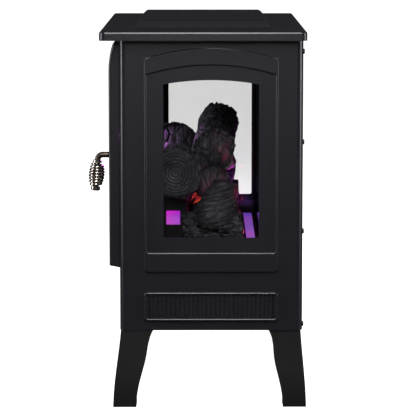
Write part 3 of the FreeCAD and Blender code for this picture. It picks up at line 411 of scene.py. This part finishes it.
def broken_depth(r, angle, seed, reach):
    """The relief of a burnt-through end: a rounded stump with upright grain and pits."""
    across, up = r * math.cos(angle), r * math.sin(angle)
    dome = 9 * MM * (r / reach) ** 2.4
    grain = noise.fractal(Vector((across * 260, up * 70, seed)), 0.65, 2.1, 5)
    cell = noise.voronoi(Vector((across / (10 * MM), up / (26 * MM), seed)))[0]
    crack = max(0.0, 1 - (cell[1] - cell[0]) / 0.25)
    return 1.2 * MM + dome + 2.2 * MM * crack + 1.6 * MM * (0.5 + 0.5 * grain)


def log_mesh(start, end, thick, thin, seed, lumps=(), sawn=False):
    """A burnt log, its ends sawn or burnt through.

    Each lump is a knot that stands out: (share along, angle, height, spread).
    """
    start, end = Vector(start) * MM, Vector(end) * MM
    run = end - start
    ahead = run.normalized()
    side = Vector((0, 1, 0)) if abs(ahead.y) < 0.8 else Vector((1, 0, 0))
    side = (side - ahead * side.dot(ahead)).normalized()
    other = ahead.cross(side)
    rows = max(24, int(run.length / ROW_PITCH))
    cap_rows = 30
    vertices = []

    def rim(share, angle):
        radius = (thick + (thin - thick) * share) * MM
        shape = noise.noise(Vector((math.cos(angle) * 1.1, math.sin(angle) * 1.1, share * 2.2 + seed)))
        swell = radius * (1 + 0.10 * shape)
        for along, where, height, width in lumps:
            turn = (angle - where + math.pi) % (2 * math.pi) - math.pi
            away = math.hypot(turn * radius, (share - along) * run.length) / (width * MM)
            swell += height * MM * math.exp(-away * away)
        depth = bark_depth(angle * radius, share * run.length, seed)
        return swell - BARK_DEPTH * depth

    def end_rows(share, sign):
        found = []
        for row in range(1, cap_rows + 1):
            part = row / cap_rows
            ring = []
            for step in range(AROUND):
                angle = 2 * math.pi * step / AROUND
                radius = rim(share, angle) * part
                dome = (1 - part ** 10) * 1.0
                if sawn:
                    sink = ring_depth(radius, angle, seed) * dome + (1 - dome) * 2.5 * MM
                else:
                    sink = broken_depth(radius, angle, seed, thick * MM)
                chip = 3.0 * MM * max(0, noise.noise(Vector((angle * 3, seed, share)))) * part ** 6
                level = share * run.length + sign * (sink + chip)
                ring.append(start + ahead * level
                            + (side * math.cos(angle) + other * math.sin(angle)) * radius)
            found.append(ring)
        return found

    near = end_rows(0.0, 1)
    far = end_rows(1.0, -1)
    middle = []
    for row in range(1, rows):
        share = row / rows
        if share * run.length < END_MARGIN or (1 - share) * run.length < END_MARGIN:
            continue
        ring = []
        for step in range(AROUND):
            angle = 2 * math.pi * step / AROUND
            ring.append(start + ahead * share * run.length
                        + (side * math.cos(angle) + other * math.sin(angle)) * rim(share, angle))
        middle.append(ring)
    rings = near + middle + far[::-1]
    for ring in rings:
        vertices += ring
    faces = []
    for row in range(len(rings) - 1):
        for step in range(AROUND):
            after = (step + 1) % AROUND
            a, b = row * AROUND, (row + 1) * AROUND
            faces.append((a + step, a + after, b + after, b + step))
    first, last = len(vertices), len(vertices) + 1
    vertices += [start + ahead * 1.2 * MM, end - ahead * 1.2 * MM]
    final = (len(rings) - 1) * AROUND
    for step in range(AROUND):
        after = (step + 1) % AROUND
        faces.append((first, after, step))
        faces.append((last, final + step, final + after))
    return vertices, faces


def make_logs():
    sets = {
        "log_front_large": [((203, -34, 355), (45, -36, 350), 41, 40, 1.7,
                             [(0.10, 1.2, 7, 14), (0.4, 2.2, 8, 22), (0.15, 5.2, 5, 16)], True)],
        "log_back_upper": [((160, 25, 388), (-185, 36, 402), 33, 35, 5.2,
                            [(0.02, 1.55, 13, 9), (0.03, 0.75, 15, 11), (0.02, 5.9, 6, 15),
                             (0.04, 2.4, 20, 15), (0.4, 2.0, 7, 25)])],
        "log_middle_upper": [((28, -36, 383), (-200, -40, 352), 38, 33, 9.4,
                              [(0.05, 0.7, 12, 18), (0.06, 2.2, 6, 18), (0.5, 1.4, 7, 25)])],
        "log_rear_lower": [((172, 24, 335), (-160, 38, 331), 31, 30, 3.3, [(0.03, 1.0, 5, 15)]),
                           ((166, 0, 360), (60, 0, 360), 25, 22, 6.1, [])],
        "end_logs": [((222, -28, 266), (219, 74, 265), 32, 31, 11.1, [(0.4, 1.0, 3, 22), (0.8, 2.5, 3, 20)]),
                     ((213, 22, 266), (208, 46, 347), 47, 16, 7.7, [(0.3, 4.4, 5, 20), (0.9, 0.2, 4, 12)]),
                     ((-222, -28, 266), (-219, 74, 265), 32, 31, 14.8, [(0.6, 2.0, 3, 20)]),
                     ((-213, 22, 266), (-208, 46, 347), 47, 16, 2.7, [])],
    }
    for name, group in sets.items():
        vertices, faces = joined([log_mesh(*facts) for facts in group])
        add_mesh("burnt_" + name, vertices, faces, "root", "charred_log", [name])


make_logs()


# ---- the coal bed ----
def coal(centre, size, seed, dice):
    ball = bmesh.new()
    bmesh.ops.create_icosphere(ball, subdivisions=3, radius=1.0)
    turn = Matrix.Rotation(dice.uniform(0, 6.28), 3, Vector((dice.uniform(-1, 1), dice.uniform(-1, 1), 1)))
    stretch = (dice.uniform(0.8, 1.35), dice.uniform(0.75, 1.1), dice.uniform(0.6, 0.9))
    vertices = []
    for vertex in ball.verts:
        point = vertex.co.copy()
        facet = noise.voronoi(point * 1.5 + Vector((seed, 0, 0)))[0]
        push = 0.86 + 0.22 * facet[0] + 0.12 * noise.fractal(point * 3.0 + Vector((0, seed, 0)), 0.6, 2.1, 4)
        point = Vector((point.x * stretch[0], point.y * stretch[1], point.z * stretch[2])) * push
        vertices.append(centre + (turn @ point) * size)
    faces = [tuple(v.index for v in face.verts) for face in ball.faces]
    ball.free()
    return vertices, faces


def make_coals():
    """A heap of coals: a lumpy core under a layer of separate pieces."""
    low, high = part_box("ember_bed")
    dice = random.Random(12)
    lumps = []
    middle = (low.y + high.y) / 2
    reach = (high.y - low.y) / 2
    for index in range(230):
        x = dice.uniform(low.x + 8 * MM, high.x - 6 * MM)
        y = dice.uniform(low.y + 9 * MM, high.y - 8 * MM)
        fall = 1 - (abs(y - (middle - 6 * MM)) / reach) ** 2
        size = dice.uniform(7, 12) * MM
        z = low.z + size * 0.6 + (high.z - low.z - 18 * MM) * max(0.0, fall) * dice.uniform(0.75, 1.0)
        lumps.append(coal(Vector((x, y, z)), size, index * 1.37, dice))
    vertices, faces = joined(lumps)
    add_mesh("coal_heap", vertices, faces, "root", "ember_resin", ["ember_bed"])


make_coals()


# ---- the coil grip ----
WIRE_SIDES = 14
GRIP_LEAN = 1.6 * MM
GRIP_END = 2.5 * MM


def make_grip():
    """One wire wound into a barrel, its turns side by side, round the handle's rod."""
    low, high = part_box("coil_grip")
    turns, wire = 7.5, 2.0 * MM
    x = (low.x + high.x) / 2
    y = (low.y + high.y) / 2
    top = Vector((x, y + GRIP_LEAN, high.z - GRIP_END))
    foot = Vector((x, y - GRIP_LEAN, low.z + GRIP_END))
    ahead = (foot - top).normalized()
    side = Vector((1, 0, 0))
    other = ahead.cross(side)
    widest = (high.x - low.x) / 2 - wire
    narrow = 6.6 * MM
    points, steps = [], 360
    for step in range(steps + 1):
        share = step / steps
        angle = 2 * math.pi * turns * share
        radius = narrow + (widest - narrow) * math.sin(math.pi * min(1, 0.06 + 0.90 * share)) ** 0.8
        centre = top.lerp(foot, share)
        points.append(centre + (side * math.cos(angle) + other * math.sin(angle)) * radius)
    vertices, faces = tube(points, wire, WIRE_SIDES)
    add_mesh("wire_grip", vertices, faces, "handle", "nickel_wire", ["coil_grip"])


make_grip()


# ---- floor and light ----
def make_floor():
    size = 40.0
    mesh = bpy.data.meshes.new("floor")
    corners = [(-size, -size, 0), (size, -size, 0), (size, size, 0), (-size, size, 0)]
    mesh.from_pydata(corners, [], [(0, 1, 2, 3)])
    floor = bpy.data.objects.new("floor", mesh)
    bpy.context.collection.objects.link(floor)
    material, tree, shader = new_material("floor_white")
    tree.links.new(ramp(tree, noise_map(tree, 3.0), [(0.3, grey(0.90)), (0.7, grey(0.93))]),
                   shader.inputs["Base Color"])
    shader.inputs["Roughness"].default_value = 1.0
    shader.inputs["Specular IOR Level"].default_value = 0.0
    shader.inputs["Emission Color"].default_value = (1, 1, 1, 1)
    shader.inputs["Emission Strength"].default_value = 0.80
    mesh.materials.append(material)
    floor.visible_glossy = False
    floor.visible_diffuse = False


def soft_light(name, place, target, size, power, colour=(1, 1, 1)):
    data = bpy.data.lights.new(name, "AREA")
    data.shape = "RECTANGLE"
    data.size, data.size_y = size
    data.energy = power
    data.color = colour
    light = bpy.data.objects.new(name, data)
    bpy.context.collection.objects.link(light)
    light.location = place
    light.rotation_euler = (Vector(target) - Vector(place)).to_track_quat("-Z", "Y").to_euler()
    return light


def glow_light(name, place, size, power, colour, facing=(0, 0, 1)):
    light = soft_light(name, place, Vector(place) + Vector(facing), size, power, colour)
    light.data.spread = math.radians(170)
    return light


def make_lights():
    world = bpy.data.worlds.new("studio")
    bpy.context.scene.world = world
    world.use_nodes = True
    tree = world.node_tree
    tree.nodes.clear()
    out = node(tree, "ShaderNodeOutputWorld")
    seen = node(tree, "ShaderNodeBackground", Color=(1, 1, 1, 1), Strength=1.0)
    lit = node(tree, "ShaderNodeBackground", Color=(1.0, 1.0, 1.0, 1), Strength=0.36)
    ray = node(tree, "ShaderNodeLightPath")
    mix = node(tree, "ShaderNodeMixShader")
    dim = node(tree, "ShaderNodeBackground", Color=(0.9, 0.93, 1.0, 1), Strength=0.035)
    shiny = node(tree, "ShaderNodeMixShader")
    tree.links.new(ray.outputs["Is Glossy Ray"], shiny.inputs["Fac"])
    tree.links.new(lit.outputs["Background"], shiny.inputs[1])
    tree.links.new(dim.outputs["Background"], shiny.inputs[2])
    tree.links.new(ray.outputs["Is Camera Ray"], mix.inputs["Fac"])
    tree.links.new(shiny.outputs["Shader"], mix.inputs[1])
    tree.links.new(seen.outputs["Background"], mix.inputs[2])
    tree.links.new(mix.outputs["Shader"], out.inputs["Surface"])
    middle = (0, 0, 0.35)
    soft_light("top_box", (1.95, 0, 1.85), (0.3, 0, 0.4), (0.5, 2.4), 62)
    soft_light("left_box", (0.7, -2.3, 1.0), middle, (0.5, 1.8), 38)
    soft_light("right_box", (0.7, 2.3, 1.0), middle, (0.5, 1.8), 36)
    behind = soft_light("back_box", (-2.4, 0.6, 1.6), middle, (2.0, 2.0), 12)
    behind.visible_glossy = False


def make_glow():
    """The stove's own lights: violet and red behind the logs, magenta in the tunnel."""
    floor_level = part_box("firebox_floor")[1].z
    slot_low, slot_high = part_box("slot_diffuser")
    y = (slot_low.y + slot_high.y) / 2
    glow_light("slot_glow", (0, y, floor_level + 2 * MM), (0.46, 0.012), 0.16, (0.40, 0.12, 1.0))
    glow_light("back_glow", (0.0, y - 0.008, floor_level + 4 * MM), (0.40, 0.01), 0.45, (1.0, 0.08, 0.35),
               (0, -0.8, 1))
    glow_light("tunnel_glow_right", (0.150, -0.047, 0.300), (0.03, 0.04), 0.015, (1.0, 0.05, 1.0), (0, 0, -1))
    glow_light("tunnel_glow_left", (-0.150, -0.047, 0.300), (0.03, 0.04), 0.015, (1.0, 0.05, 1.0), (0, 0, -1))
    glow_light("red_glow", (0.195, 0.086, 0.262), (0.02, 0.02), 0.16, (1.0, 0.03, 0.16), (0, -0.5, 1))
    glow_light("violet_glow", (0.13, 0.088, 0.29), (0.03, 0.02), 0.10, (0.45, 0.10, 1.0), (0, -0.6, 1))
    glow_light("front_flicker", (0.06, -0.090, 0.400), (0.20, 0.01), 0.12, (0.8, 0.25, 1.0), (0.5, 0.6, 0.1))


make_floor()
make_lights()
make_glow()
bpy.context.scene.view_settings.view_transform = "Standard"
